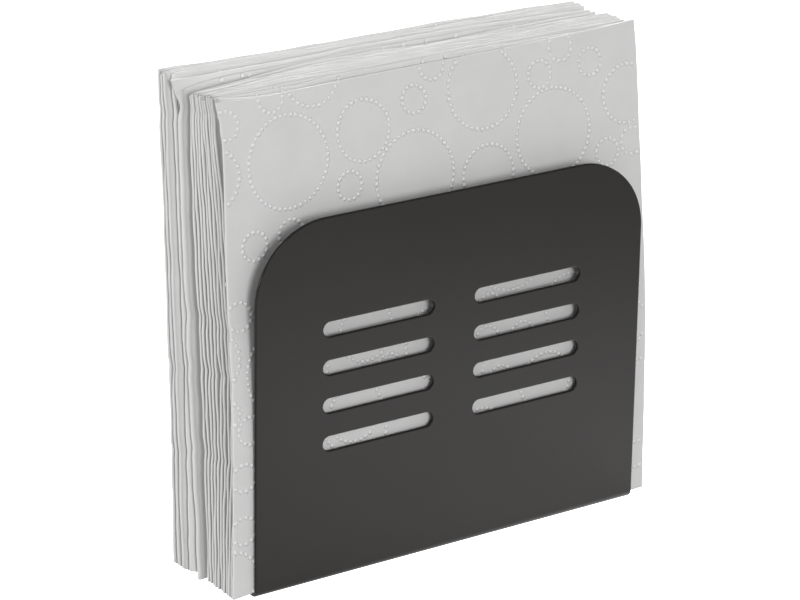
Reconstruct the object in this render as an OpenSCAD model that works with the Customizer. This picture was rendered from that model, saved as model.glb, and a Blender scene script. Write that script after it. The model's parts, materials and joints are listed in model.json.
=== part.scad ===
// Napkin holder bent from one sheet, with a stack of folded paper napkins leaning in it.
// X runs along the plates, Y from the front plate to the back plate, Z up.
// The origin is on the table, under the middle of the holder and its napkins together.

/* [Holder] */
// Width of the front and back plates
plate_w = 152; // [130:1:180]
// Height of the plates above the underside of the base
plate_h = 124.3; // [90:0.1:150]
// Thickness of the sheet metal
sheet_t = 1.2; // [0.8:0.1:2]
// Inner radius of the two bends beside the base
bend_r = 1.3; // [1:0.1:3]
// Radius of the plates' upper corners
corner_r = 26; // [5:1:40]

/* [Slots] */
// Length of one slot over its round ends
slot_l = 42.7; // [20:0.1:50]
// Height of one slot
slot_h = 5; // [2:0.5:8]
// Gap between the two columns of slots
slot_gap = 16; // [8:1:30]
// Distance from one row of slots to the next
slot_pitch = 13; // [9:0.5:20]
// Number of rows of slots in each plate
slot_rows = 4; // [1:1:5]
// Height of the lowest row's middle above the underside of the base
slot_low_z = 47.7; // [30:0.1:60]

/* [Pads] */
// Diameter of a pad under the base
pad_d = 10; // [6:1:12]
// Thickness of a pad
pad_t = 1; // [0.5:0.1:3]
// Distance from the base's end to a pad's edge
pad_end_inset = 8; // [2:1:20]
// Distance from the start of a bend to a pad's edge
pad_side_inset = 1.5; // [0.5:0.5:3]

/* [Napkins] */
// Number of folded napkins in the stack
napkin_count = 16; // [12:1:20]
// Side of a napkin's folded square, a quarter of the open sheet
napkin_side = 164; // [140:1:170]
// Thickness of one leaf of the napkin, with its plies and embossing
leaf_t = 0.23; // [0.16:0.01:0.3]
// Air between two leaves of one napkin
leaf_gap = 0.1; // [0.06:0.02:0.16]
// Air between two napkins of the stack
napkin_gap = 0.3; // [0.2:0.05:0.5]
// Number of napkins in front of the place where the stack parts
front_count = 12; // [6:1:12]
// Width of that parting
parting = 2; // [0:0.1:4]
// Angle by which the front napkin leans back, in degrees
lean = 4.3; // [1:0.1:6]
// By how much less the rear napkin leans, in degrees, because the stack is thicker at its folded feet
spread = 1; // [0:0.1:1]
// Clearance between the front napkin's foot and the front plate
front_clear = 0.5; // [0.4:0.1:3]
// Clearance between a napkin and the metal that it rests on
rest_clear = 0.3; // [0.2:0.05:0.5]

/* [Hidden] */
// Colours as in the photograph
metal_colour = "#403e3d";
pad_colour = "#2a2a2a";
paper_colour = "#e8e7e5";

// Facets on a full round
$fn = 48;
// By how far a cutting shape stands out of what it cuts
overrun = 1;

// Shift of each napkin's middle along the plates, as a share of its side, chosen by hand:
// the rear napkins stand further left
shift_shares = [
    0.0034, -0.0027, -0.0049, -0.0058, -0.0079, -0.0095, -0.0104, -0.0116, -0.0125, -0.0165,
    -0.0195, -0.0308, -0.0329, -0.0338, -0.0351, -0.0357, -0.035, -0.0355, -0.0345, -0.035
];
// Width of each napkin, as a share of the nominal side, because no two are folded alike
width_shares = [
    1, 0.979, 0.977, 0.977, 0.976, 0.975, 0.976, 0.976, 0.976, 0.972,
    0.968, 0.988, 0.988, 0.991, 0.991, 0.991, 0.99, 0.989, 0.99, 0.989
];
// Height of each napkin, as a share of the nominal side
height_shares = [
    1, 1.003, 1.006, 1.005, 1.006, 1.005, 1.005, 1.006, 1.004, 1.003,
    1.003, 1.013, 1.01, 1.011, 1.01, 1.012, 1.01, 1.011, 1.009, 1.01
];

// A pair of leaves joined by the first fold, and a whole napkin of two pairs
pair_t = 2 * leaf_t + leaf_gap;
napkin_t = 2 * pair_t + leaf_gap;
napkin_pitch = napkin_t + napkin_gap;

// Lean of a napkin; index 0 is the front one
function lean_at(index) = lean - spread * index / (napkin_count - 1);
rear_lean = lean_at(napkin_count - 1);

// Distance of a napkin's foot behind the front napkin's: the stack is pressed together at its top
function foot_step(index) =
    index * napkin_pitch / cos(lean) + napkin_side * (tan(lean) - tan(lean_at(index)))
    + (index < front_count ? 0 : parting);
stack_d = foot_step(napkin_count - 1) + napkin_t / cos(rear_lean);

// Heights of the base's underside, its floor, the napkins' feet and the plates' top
base_z = pad_t;
floor_z = base_z + sheet_t;
foot_z = floor_z + rest_clear;
top_z = base_z + plate_h;

// The room between the plates takes the leaning stack, which meets the back plate's top edge
room_d = front_clear + stack_d + (top_z - foot_z) * tan(rear_lean) + rest_clear;
holder_d = room_d + 2 * sheet_t;
front_y = -holder_d / 2;
stack_y = front_y + sheet_t + front_clear;
bend_outer_r = bend_r + sheet_t;

// Middle of the holder and its napkins together, seen from the holder's middle
left_ends = [for (i = [0 : napkin_count - 1]) napkin_side * (shift_shares[i] - width_shares[i] / 2)];
right_ends = [for (i = [0 : napkin_count - 1]) napkin_side * (shift_shares[i] + width_shares[i] / 2)];
middle_x = (min(min(left_ends), -plate_w / 2) + max(max(right_ends), plate_w / 2)) / 2;

// Places of the pads' middles
pad_x = plate_w / 2 - pad_end_inset - pad_d / 2;
pad_y = holder_d / 2 - bend_outer_r - pad_side_inset - pad_d / 2;

PAD_NODES = ["pad_front_left", "pad_front_right", "pad_back_left", "pad_back_right"];
NAPKIN_NODES = [for (i = [1 : napkin_count]) str("napkin_", i < 10 ? "0" : "", i)];

// Quarter of a bent sheet seen from the end, its centre at the origin, opening up and to the right
module bend_profile() {
    difference() {
        intersection() {
            circle(r = bend_outer_r);
            translate([-bend_outer_r, -bend_outer_r]) square(bend_outer_r);
        }
        circle(r = bend_r);
    }
}

// Half of the bent sheet seen from the end: one plate, its bend and half of the base
module half_profile() {
    translate([front_y, bend_outer_r]) square([sheet_t, plate_h - bend_outer_r]);
    translate([front_y + bend_outer_r, bend_outer_r]) bend_profile();
    translate([front_y + bend_outer_r, 0]) square([-front_y - bend_outer_r, sheet_t]);
}

// The whole sheet seen from the end, a U
module u_profile() {
    half_profile();
    mirror([1, 0]) half_profile();
}

// A plate seen from the front, with round upper corners
module plate_outline() {
    translate([-plate_w / 2, 0]) square([plate_w, plate_h - corner_r]);
    translate([-plate_w / 2 + corner_r, 0]) square([plate_w - 2 * corner_r, plate_h]);
    for (side = [-1, 1])
        translate([side * (plate_w / 2 - corner_r), plate_h - corner_r]) circle(r = corner_r);
}

// One slot seen from the front, its left end at the origin
module slot_outline() {
    translate([slot_h / 2, 0]) circle(d = slot_h);
    translate([slot_l - slot_h / 2, 0]) circle(d = slot_h);
    translate([slot_h / 2, -slot_h / 2]) square([slot_l - slot_h, slot_h]);
}

// All the slots of a plate, in two columns
module slots_outline() {
    for (row = [0 : slot_rows - 1])
        translate([0, slot_low_z + row * slot_pitch]) {
            translate([slot_gap / 2, 0]) slot_outline();
            translate([-slot_gap / 2 - slot_l, 0]) slot_outline();
        }
}

// Stands an outline up, its Y along the model's Z, through the whole depth of the holder
module through_plates(outset) {
    translate([0, holder_d / 2 + outset, base_z])
        rotate([90, 0, 0])
            linear_extrude(height = holder_d + 2 * outset) children();
}

// The sheet, bent twice into a front plate, a base and a back plate
module holder() {
    color(metal_colour)
        difference() {
            intersection() {
                translate([-plate_w / 2, 0, base_z])
                    rotate([90, 0, 90])
                        linear_extrude(height = plate_w) u_profile();
                through_plates(overrun) plate_outline();
            }
            through_plates(overrun) slots_outline();
        }
}

// A round pad stuck under the base; index 0 and 1 are at the front, 2 and 3 at the back
module pad(index) {
    side = index % 2 == 0 ? -1 : 1;
    row = index < 2 ? -1 : 1;
    color(pad_colour)
        translate([side * pad_x, row * pad_y, 0])
            cylinder(h = pad_t, d = pad_d);
}

// A folded napkin seen from above: its last fold is a round nose on the left
module napkin_plan(width) {
    translate([napkin_t / 2, napkin_t / 2]) circle(d = napkin_t);
    translate([napkin_t / 2, 0]) square([width - napkin_t / 2, napkin_t]);
}

// Air between the outer and the inner leaves, seen from above: it runs round the nose
module outer_air_plan(width) {
    inner_r = napkin_t / 2 - leaf_t - leaf_gap;
    translate([napkin_t / 2, napkin_t / 2])
        difference() {
            circle(r = inner_r + leaf_gap);
            circle(r = inner_r);
            translate([0, -napkin_t]) square(2 * napkin_t);
        }
    for (y = [leaf_t, napkin_t - leaf_t - leaf_gap])
        translate([napkin_t / 2, y]) square([width, leaf_gap]);
}

// A folded napkin seen from its side: each pair of leaves ends in a round fold at the foot
module napkin_side_view(height) {
    for (y = [0, pair_t + leaf_gap])
        translate([y, 0]) {
            translate([pair_t / 2, pair_t / 2]) circle(d = pair_t);
            translate([0, pair_t / 2]) square([pair_t, height - pair_t / 2]);
        }
    // Where the last fold joins the two pairs, the foot is closed between them
    translate([pair_t / 2, pair_t / 2]) square([pair_t + leaf_gap, height - pair_t / 2]);
}

// Shape of one folded napkin, its lower front left corner at the origin
module folded_napkin(width, height) {
    difference() {
        intersection() {
            linear_extrude(height = height) napkin_plan(width);
            rotate([90, 0, 90]) linear_extrude(height = width) napkin_side_view(height);
        }
        translate([0, 0, pair_t / 2])
            linear_extrude(height = height) outer_air_plan(width);
        translate([napkin_t / 2, pair_t, -overrun])
            cube([width, leaf_gap, height + 2 * overrun]);
    }
}

// Rise of a leaning napkin, so that its rear fold stands on the floor
function foot_rise(angle) =
    let (r = pair_t / 2)
    ((napkin_t - r) * sin(angle) + r) / cos(angle) - r;

// A napkin in its place in the leaning stack; index 0 is the front one
module napkin(index) {
    width = napkin_side * width_shares[index];
    height = napkin_side * height_shares[index];
    angle = lean_at(index);
    color(paper_colour)
        translate([napkin_side * shift_shares[index] - width / 2, stack_y + foot_step(index), foot_z])
            rotate([-angle, 0, 0])
                translate([0, 0, foot_rise(angle)])
                    folded_napkin(width, height);
}

// Brings what is placed from the holder's middle to its place round the origin
module from_middle() {
    translate([-middle_x, 0, 0]) children();
}

from_middle() holder();
for (i = [0 : len(PAD_NODES) - 1])
    from_middle() pad(i);
for (i = [0 : napkin_count - 1])
    from_middle() napkin(i);
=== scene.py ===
# %% [markdown]
# A napkin holder bent from one metal sheet, with a stack of folded paper napkins leaning in it.
# The solid model comes from CAD, in metres, and every piece made here is placed by its solids.
# Lengths are written in millimetres and become metres where a mesh is made.

# %% Load the solid model as a fixed frame
import json
import math

import bmesh
import bpy
import numpy as np
from mathutils import Matrix, Vector


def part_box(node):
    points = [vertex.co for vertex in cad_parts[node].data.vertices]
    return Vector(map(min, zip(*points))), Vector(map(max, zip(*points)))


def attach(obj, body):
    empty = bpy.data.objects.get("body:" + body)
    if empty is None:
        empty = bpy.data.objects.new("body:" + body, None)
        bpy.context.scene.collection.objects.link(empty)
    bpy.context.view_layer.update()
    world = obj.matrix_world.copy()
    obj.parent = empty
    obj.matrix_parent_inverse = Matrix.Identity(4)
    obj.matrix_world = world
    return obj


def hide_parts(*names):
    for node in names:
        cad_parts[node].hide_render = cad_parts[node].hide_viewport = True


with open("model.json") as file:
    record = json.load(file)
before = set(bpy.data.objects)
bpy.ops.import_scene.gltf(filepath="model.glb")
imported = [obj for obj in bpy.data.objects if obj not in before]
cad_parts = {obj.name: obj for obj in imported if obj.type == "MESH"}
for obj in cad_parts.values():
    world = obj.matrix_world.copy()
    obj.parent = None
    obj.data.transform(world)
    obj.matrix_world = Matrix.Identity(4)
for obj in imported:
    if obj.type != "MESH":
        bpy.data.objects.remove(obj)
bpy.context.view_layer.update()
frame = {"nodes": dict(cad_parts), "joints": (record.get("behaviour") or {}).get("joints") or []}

MM = 0.001

# %% [markdown]
# All the pieces are built from lists of points and faces, so a few small helpers come first.
# They read the box of a solid in millimetres, make an object from points, store a value at each
# point, bake the modifiers into a plain mesh with the object itself unmoved at the origin, and
# shade a mesh smooth up to a given angle.

# %% Helpers for boxes, meshes and baking
def node_box(node):
    low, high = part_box(node)
    return np.array(low) / MM, np.array(high) / MM


def object_from(name, points, edges, faces):
    mesh = bpy.data.meshes.new(name)
    mesh.from_pydata((np.asarray(points) * MM).tolist(), edges, faces)
    piece = bpy.data.objects.new(name, mesh)
    bpy.context.scene.collection.objects.link(piece)
    return piece


def store(mesh, name, kind, key, values):
    attribute = mesh.attributes.new(name, kind, "POINT")
    attribute.data.foreach_set(key, np.asarray(values, dtype=np.float32).ravel())


def bake(piece):
    bpy.context.view_layer.update()
    evaluated = piece.evaluated_get(bpy.context.evaluated_depsgraph_get())
    mesh = bpy.data.meshes.new_from_object(evaluated)
    piece.modifiers.clear()
    old = piece.data
    piece.data = mesh
    bpy.data.meshes.remove(old)
    mesh.name = piece.name


def smooth(piece, sharp_angle):
    piece.data.polygons.foreach_set("use_smooth", [True] * len(piece.data.polygons))
    piece.data.set_sharp_from_angle(angle=math.radians(sharp_angle))


holder_low, holder_high = node_box("holder")
HOLDER_X = (holder_low[0] + holder_high[0]) / 2
BASE_Z = holder_low[2]
print("holder from", holder_low.round(2), "to", holder_high.round(2))

# %% [markdown]
# The camera looks down on the holder from its front left corner, from about a metre away.
# Its place and lens were worked out beforehand from the edges of the plate, its slots and the
# corners of the napkins, so the picture's perspective is that of the photograph.

# %% The camera
VIEW_AZIMUTH = math.radians(34.705)
VIEW_ELEVATION = math.radians(20.184)
VIEW_ROLL = math.radians(0.8054)
LENS = 154.32
SENSOR = 36
# From the middle of the front plate's foot
CAMERA_PLACE = (-606.7, -844.7, 469.1)


def turned_camera(azimuth, elevation, roll):
    forward = Vector((math.sin(azimuth) * math.cos(elevation),
                      math.cos(azimuth) * math.cos(elevation), -math.sin(elevation)))
    level = Vector((math.cos(azimuth), -math.sin(azimuth), 0))
    upright = level.cross(forward)
    right = math.cos(roll) * level + math.sin(roll) * upright
    up = math.cos(roll) * upright - math.sin(roll) * level
    return Matrix((right, up, -forward)).transposed().to_4x4()


camera_data = bpy.data.cameras.new("camera")
camera_data.lens = LENS
camera_data.sensor_width = SENSOR
camera_data.sensor_fit = "HORIZONTAL"
camera_data.clip_start = 0.05
camera = bpy.data.objects.new("camera", camera_data)
bpy.context.scene.collection.objects.link(camera)
foot = Vector((HOLDER_X, holder_low[1], BASE_Z))
camera_spot = (foot + Vector(CAMERA_PLACE)) * MM
camera.matrix_world = Matrix.Translation(camera_spot) @ turned_camera(
    VIEW_AZIMUTH, VIEW_ELEVATION, VIEW_ROLL)
bpy.context.scene.camera = camera
print("camera stands at", [round(value, 3) for value in camera_spot], "m")

# %% [markdown]
# A material is a small network of nodes. This helper adds a node, gives its sockets their values
# and joins those that take another node's output, so each finish below can be read as a list.
# Patterns read Object coordinates, which stay with a piece when it moves.

# %% Helpers for materials
def add_node(tree, kind, inputs=None, **settings):
    node = tree.nodes.new(kind)
    for name, value in settings.items():
        setattr(node, name, value)
    for name, value in (inputs or {}).items():
        if isinstance(value, bpy.types.NodeSocket):
            tree.links.new(value, node.inputs[name])
        else:
            node.inputs[name].default_value = value
    return node


def new_finish(name):
    finish = bpy.data.materials.new(name)
    finish.use_nodes = True
    tree = finish.node_tree
    tree.nodes.clear()
    place = add_node(tree, "ShaderNodeTexCoord").outputs["Object"]
    return finish, tree, place


def finish_with(tree, shader):
    add_node(tree, "ShaderNodeOutputMaterial", {"Surface": shader.outputs[0]})


def noise(tree, place, scale, detail, roughness=0.5):
    texture = add_node(tree, "ShaderNodeTexNoise", {
        "Vector": place, "Scale": scale, "Detail": detail, "Roughness": roughness})
    return texture.outputs["Fac"]


def blend_colours(tree, factor, first, second):
    ramp = add_node(tree, "ShaderNodeValToRGB", {"Fac": factor})
    ramp.color_ramp.elements[0].position = 0.3
    ramp.color_ramp.elements[0].color = (*first, 1)
    ramp.color_ramp.elements[1].position = 0.7
    ramp.color_ramp.elements[1].color = (*second, 1)
    return ramp.outputs["Color"]


def spread_values(tree, factor, low, high):
    spread = add_node(tree, "ShaderNodeMapRange", {
        "Value": factor, "From Min": 0.3, "From Max": 0.7, "To Min": low, "To Max": high})
    return spread.outputs["Result"]


print("materials that came with the frame:", len(bpy.data.materials))

# %% [markdown]
# The sheet is powder coated: a dry powder is baked onto the metal and flows into a satin skin
# with a fine grain, like the peel of a very small orange. Two noises make it here, a fine one
# for the grain and a broad one for the slow change in how much it shines.

# %% The powder coat
COAT_DARK = (0.0128, 0.011, 0.0102)
COAT_LIGHT = (0.0158, 0.014, 0.0132)
COAT_GRAIN = 2600
COAT_CLOUD = 26


def powder_coat_finish():
    finish, tree, place = new_finish("charcoal powder coat")
    grain = noise(tree, place, COAT_GRAIN, 2)
    cloud = noise(tree, place, COAT_CLOUD, 3)
    bump = add_node(tree, "ShaderNodeBump", {
        "Height": grain, "Strength": 0.22, "Distance": 0.0001})
    shader = add_node(tree, "ShaderNodeBsdfPrincipled", {
        "Base Color": blend_colours(tree, cloud, COAT_DARK, COAT_LIGHT),
        "Roughness": spread_values(tree, cloud, 0.44, 0.5),
        "Specular IOR Level": 0.04,
        "Coat Weight": 0.25,
        "Coat Roughness": 0.2,
        "Normal": bump.outputs["Normal"]})
    finish_with(tree, shader)
    return finish


powder_coat = powder_coat_finish()
print("made", powder_coat.name)

# %% [markdown]
# The pads under the base are soft black rubber: dull, with a faint dusty grain.

# %% The pads' rubber
RUBBER_DARK = (0.014, 0.014, 0.014)
RUBBER_DUSTY = (0.03, 0.029, 0.028)
DUST_SCALE = 700


def rubber_finish():
    finish, tree, place = new_finish("black rubber")
    dust = noise(tree, place, DUST_SCALE, 4, 0.6)
    bump = add_node(tree, "ShaderNodeBump", {
        "Height": dust, "Strength": 0.3, "Distance": 0.0002})
    shader = add_node(tree, "ShaderNodeBsdfPrincipled", {
        "Base Color": blend_colours(tree, dust, RUBBER_DARK, RUBBER_DUSTY),
        "Roughness": spread_values(tree, dust, 0.68, 0.85),
        "Specular IOR Level": 0.35,
        "Normal": bump.outputs["Normal"]})
    finish_with(tree, shader)
    return finish


rubber = rubber_finish()
print("made", rubber.name)

# %% [markdown]
# Napkin paper is soft tissue of two or three plies. Close up it shows a web of fibres, and from
# further away a slight cloudiness where the plies are thicker. It is nearly white and quite dull.
# The embossed dots get a whiter finish of their own, which is painted highlight on the small bumps.
# The finish can also mix in a grey, where an attribute on the mesh says so. It is stored further
# down, beside each napkin's last fold, and is shade put into the colour, not a colour of the paper.

# %% The tissue paper
PAPER_WHITE = (0.79, 0.79, 0.785)
PAPER_SHADE = (0.745, 0.745, 0.74)
# Whiter than the paper: painted highlight on the embossed dots
DOT_PAINTED_HIGHLIGHT_WHITE = (0.93, 0.93, 0.925)
DOT_PAINTED_HIGHLIGHT_GREY = (0.88, 0.88, 0.875)
FIBRE_SCALE = 1500
FIBRE_STRETCH = (1.0, 1.0, 0.35)
PLY_CLOUD = 60
# Grey of the painted shade laid on the flanks of the last folds
PAINTED_SHADE_GREY = (0.45, 0.45, 0.445)
FOLD_PAINTED_SHADE = "painted fold shade"


def paper_finish(name, shade, white):
    finish, tree, place = new_finish(name)
    stretched = add_node(tree, "ShaderNodeMapping", {"Vector": place, "Scale": FIBRE_STRETCH})
    fibres = noise(tree, stretched.outputs["Vector"], FIBRE_SCALE, 5, 0.65)
    cloud = noise(tree, place, PLY_CLOUD, 4, 0.6)
    height = add_node(tree, "ShaderNodeMath", {0: fibres, 1: cloud}, operation="ADD")
    bump = add_node(tree, "ShaderNodeBump", {
        "Height": height.outputs[0], "Strength": 0.16, "Distance": 0.0003})
    # Painted shade: the grey is mixed in where the mesh's attribute says so
    tint = add_node(tree, "ShaderNodeAttribute", attribute_name=FOLD_PAINTED_SHADE)
    colour = add_node(tree, "ShaderNodeMixRGB", {
        "Fac": tint.outputs["Fac"],
        "Color1": blend_colours(tree, cloud, shade, white),
        "Color2": (*PAINTED_SHADE_GREY, 1)})
    shader = add_node(tree, "ShaderNodeBsdfPrincipled", {
        "Base Color": colour.outputs["Color"],
        "Roughness": spread_values(tree, fibres, 0.84, 0.95),
        "Specular IOR Level": 0.22,
        "Normal": bump.outputs["Normal"]})
    finish_with(tree, shader)
    return finish


paper = paper_finish("white tissue paper", PAPER_SHADE, PAPER_WHITE)
# The dots' finish is whiter than the paper: painted highlight on the small bumps
painted_highlight_paper = paper_finish("tissue paper with painted highlight", DOT_PAINTED_HIGHLIGHT_GREY, DOT_PAINTED_HIGHLIGHT_WHITE)
print("made", paper.name, "and", painted_highlight_paper.name)

# %% [markdown]
# The holder is one blank, cut from sheet metal by laser or punch and bent up twice, so it is made
# here in the same order. First come the outlines of the flat blank: a rectangle with four round
# corners, and the slots of both plates. Each outline point keeps its outward direction, so the
# cut edge can be given a small round on both faces, as a tumbled and powder coated edge has.

# %% The blank's sizes
SHEET_T = 1.2
BEND_R = 1.3
CORNER_R = 26
SLOT_L = 42.7
SLOT_H = 5
SLOT_GAP = 16
SLOT_PITCH = 13
SLOT_ROWS = 4
SLOT_LOW_Z = 47.7
EDGE_ROUND = 0.4

PLATE_W = holder_high[0] - holder_low[0]
PLATE_H = holder_high[2] - BASE_Z
DEPTH = holder_high[1] - holder_low[1]
BEND_OUTER_R = BEND_R + SHEET_T
MIDDLE_R = BEND_R + SHEET_T / 2
BASE_HALF = DEPTH / 2 - BEND_OUTER_R
BEND_LENGTH = MIDDLE_R * math.pi / 2
PLATE_START = BASE_HALF + BEND_LENGTH
BLANK_HALF = PLATE_START + PLATE_H - BEND_OUTER_R
print("blank", round(PLATE_W, 1), "x", round(2 * BLANK_HALF, 1), "mm")

# %% The outlines, as points with their outward directions
def arc(centre, radius, start, end, steps, inward=False):
    points = []
    for angle in np.radians(np.linspace(start, end, steps + 1)):
        away = np.array([math.cos(angle), math.sin(angle)])
        points.append((np.array(centre) + radius * away, -away if inward else away))
    return points


def plate_outline(steps=24):
    side = PLATE_W / 2
    corner = PLATE_H - CORNER_R
    right_foot = (np.array([side, BEND_OUTER_R]), np.array([1.0, 0.0]))
    left_foot = (np.array([-side, BEND_OUTER_R]), np.array([-1.0, 0.0]))
    return ([right_foot] + arc((side - CORNER_R, corner), CORNER_R, 0, 90, steps)
            + arc((CORNER_R - side, corner), CORNER_R, 90, 180, steps) + [left_foot])


def slot_outline(left, height, steps=12):
    radius = SLOT_H / 2
    right_end = arc((left + SLOT_L - radius, height), radius, 90, -90, steps, inward=True)
    left_end = arc((left + radius, height), radius, -90, -270, steps, inward=True)
    return right_end + left_end


slot_outlines = []
for row in range(SLOT_ROWS):
    for left in (SLOT_GAP / 2, -SLOT_GAP / 2 - SLOT_L):
        slot_outlines.append(slot_outline(left, SLOT_LOW_Z + row * SLOT_PITCH))
print(len(slot_outlines), "slots in each plate")

# %% The cut edge's profile, from the outer face to the inner face
def edge_profile(steps=4):
    profile = []
    for angle in np.radians(np.linspace(90, 0, steps + 1)):
        profile.append((EDGE_ROUND * (math.cos(angle) - 1),
                        SHEET_T / 2 + EDGE_ROUND * (math.sin(angle) - 1)))
    return profile + [(inset, -depth) for inset, depth in reversed(profile)]


PROFILE = edge_profile()
print(len(PROFILE), "points across the edge")

# %% [markdown]
# Now the flat faces are filled between the outlines, and the bends and the base are added as a
# run of strips. Only then is the blank folded: a point's distance along the blank says whether it
# lies on the base, goes round a bend or stands upright in a plate. The middle of the sheet keeps
# its length, as it nearly does in a press brake.

# %% Folding a point of the flat blank
def fold_blank(x, along, depth):
    """Depth is measured from the middle of the sheet, towards the outside of the holder."""
    side = math.copysign(1, along)
    reach = abs(along)
    if reach <= BASE_HALF:
        return (x, along, BASE_Z + SHEET_T / 2 - depth)
    if reach <= PLATE_START + 1e-9:
        turn = (reach - BASE_HALF) / MIDDLE_R
        radius = MIDDLE_R + depth
        return (x, side * (BASE_HALF + radius * math.sin(turn)),
                BASE_Z + BEND_OUTER_R - radius * math.cos(turn))
    return (x, side * (BASE_HALF + MIDDLE_R + depth),
            BASE_Z + BEND_OUTER_R + reach - PLATE_START)


print("folded, the blank's end stands", round(fold_blank(0, BLANK_HALF, 0)[2], 1), "mm high")

# %% Mesh of one plate, with its slots
def ring_faces(first, count, rows, closed):
    faces = []
    for i in range(count if closed else count - 1):
        a = first + i * rows
        b = first + (i + 1) % count * rows
        faces += [(a + k, b + k, b + k + 1, a + k + 1) for k in range(rows - 1)]
    return faces


def add_plate(mesh, side):
    rows = len(PROFILE)
    rims = ([], [])
    for outline, closed in [(plate_outline(), False)] + [(slot, True) for slot in slot_outlines]:
        grid = []
        for point, away in outline:
            height = point[1] - BEND_OUTER_R + PLATE_START
            grid += [mesh.verts.new(Vector(((point + inset * away)[0],
                                            side * (height + (inset * away)[1]), depth)))
                     for inset, depth in PROFILE]
        for face in ring_faces(0, len(outline), rows, closed):
            mesh.faces.new([grid[index] for index in face])
        for rim, row in zip(rims, (0, rows - 1)):
            loop = grid[row::rows]
            for a, b in zip(loop, loop[1:] + loop[:1]):
                rim.append(mesh.edges.get((a, b)) or mesh.edges.new((a, b)))
    for rim in rims:
        bmesh.ops.triangle_fill(mesh, edges=rim, use_beauty=True, use_dissolve=False)


def add_middle(mesh, bend_steps=10, base_steps=2):
    turns = np.linspace(0, BEND_LENGTH, bend_steps + 1)
    half = list(BASE_HALF + turns)
    places = [-value for value in reversed(half)]
    places += list(np.linspace(-BASE_HALF, BASE_HALF, base_steps + 1))[1:-1] + half
    loop = [(PLATE_W / 2 + inset, depth) for inset, depth in PROFILE]
    loop += [(-PLATE_W / 2 - inset, depth) for inset, depth in reversed(PROFILE)]
    grid = [[mesh.verts.new(Vector((x, along, depth))) for x, depth in loop] for along in places]
    for first, second in zip(grid, grid[1:]):
        for k in range(len(loop)):
            after = (k + 1) % len(loop)
            mesh.faces.new((first[k], first[after], second[after], second[k]))


print("each slot has", len(slot_outlines[0]), "points round it")

# %% The bent sheet
def build_sheet():
    mesh = bmesh.new()
    for side in (-1, 1):
        add_plate(mesh, side)
    add_middle(mesh)
    bmesh.ops.remove_doubles(mesh, verts=mesh.verts, dist=1e-5)
    for vert in mesh.verts:
        x, y, z = fold_blank(*vert.co)
        vert.co = Vector((x + HOLDER_X, y, z)) * MM
    bmesh.ops.recalc_face_normals(mesh, faces=mesh.faces)
    data = bpy.data.meshes.new("bent_sheet")
    mesh.to_mesh(data)
    open_edges = sum(not edge.is_manifold for edge in mesh.edges)
    mesh.free()
    print("bent sheet:", len(data.polygons), "faces,", open_edges, "open edges")
    sheet = bpy.data.objects.new("bent_sheet", data)
    bpy.context.scene.collection.objects.link(sheet)
    return sheet


bent_sheet = build_sheet()
for face in bent_sheet.data.polygons:
    face.use_smooth = len(face.vertices) == 4
bent_sheet.data.materials.append(powder_coat)
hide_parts("holder")
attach(bent_sheet, "holder")

# %% [markdown]
# Four round rubber pads under the base keep the metal off the table. Each is like a coin with a
# soft edge and a slightly hollow underside, so a profile is spun round the pad's axis.

# %% The pads
PAD_ROUND = 0.35
PAD_HOLLOW = 0.08
# Where the hollow begins and where it has its depth, measured from the pad's edge
HOLLOW_START = 1.2
HOLLOW_INSET = 1.6
PAD_NODES = ("pad_front_left", "pad_front_right", "pad_back_left", "pad_back_right")


def pad_profile(radius, height, steps=4):
    profile = [(0.0, PAD_HOLLOW), (radius - HOLLOW_INSET, PAD_HOLLOW), (radius - HOLLOW_START, 0.0)]
    for angle in np.radians(np.linspace(-90, 0, steps + 1)):
        profile.append((radius - PAD_ROUND + PAD_ROUND * math.cos(angle),
                        PAD_ROUND + PAD_ROUND * math.sin(angle)))
    return profile + [(radius, height), (0.0, height)]


def build_pad(node, turns=48):
    low, high = node_box(node)
    middle = (low + high) / 2
    profile = pad_profile((high[0] - low[0]) / 2, high[2] - low[2])
    points = [(middle[0], middle[1], low[2] + profile[0][1])]
    points += [(middle[0], middle[1], low[2] + profile[-1][1])]
    for turn in range(turns):
        angle = 2 * math.pi * turn / turns
        points += [(middle[0] + radius * math.cos(angle), middle[1] + radius * math.sin(angle),
                    low[2] + height) for radius, height in profile[1:-1]]
    rows = len(profile) - 2
    faces = ring_faces(2, turns, rows, True)
    for turn in range(turns):
        a = 2 + turn * rows
        b = 2 + (turn + 1) % turns * rows
        faces += [(0, b, a), (1, a + rows - 1, b + rows - 1)]
    pad = object_from("rubber_" + node, points, [], faces)
    smooth(pad, 40)
    return pad


for pad_node in PAD_NODES:
    pad = build_pad(pad_node)
    pad.data.materials.append(rubber)
    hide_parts(pad_node)
    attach(pad, "holder")
print(len(PAD_NODES), "pads")

# %% [markdown]
# A paper napkin is a square of tissue folded in half twice. The first fold lies at its foot here
# and the second at its left side, so four leaves stand behind one another, open at the top and at
# the right. Cloth simulation could press a stack together, but the folds are so small and regular
# that folding in code is exact: each point of the open sheet is sent round the foot's fold, and
# then round the fold at the left, which is called the nose below.

# %% Sizes of a folded napkin
LEAF_T = 0.23
LEAF_GAP = 0.1
PAIR_T = 2 * LEAF_T + LEAF_GAP
NAPKIN_T = 2 * PAIR_T + LEAF_GAP
NOSE_R = NAPKIN_T / 2
PAIR_PATH_R = (PAIR_T + LEAF_GAP) / 2
LEAF_PATH_R = (LEAF_T + LEAF_GAP) / 2
LEAVES = 4
NAPKIN_COUNT = sum(name.startswith("napkin_") for name in frame["nodes"])
FRONT_GROUP = 12
TWELFTH = FRONT_GROUP - 1
# Whether nothing presses on a napkin's front and rear face; index 0 is the front napkin
FREE_SIDES = {0: (True, False), 11: (False, True), 12: (True, False), 15: (False, True)}
print(NAPKIN_COUNT, "napkins of four leaves,", round(NAPKIN_T, 2), "mm thick each")

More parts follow.
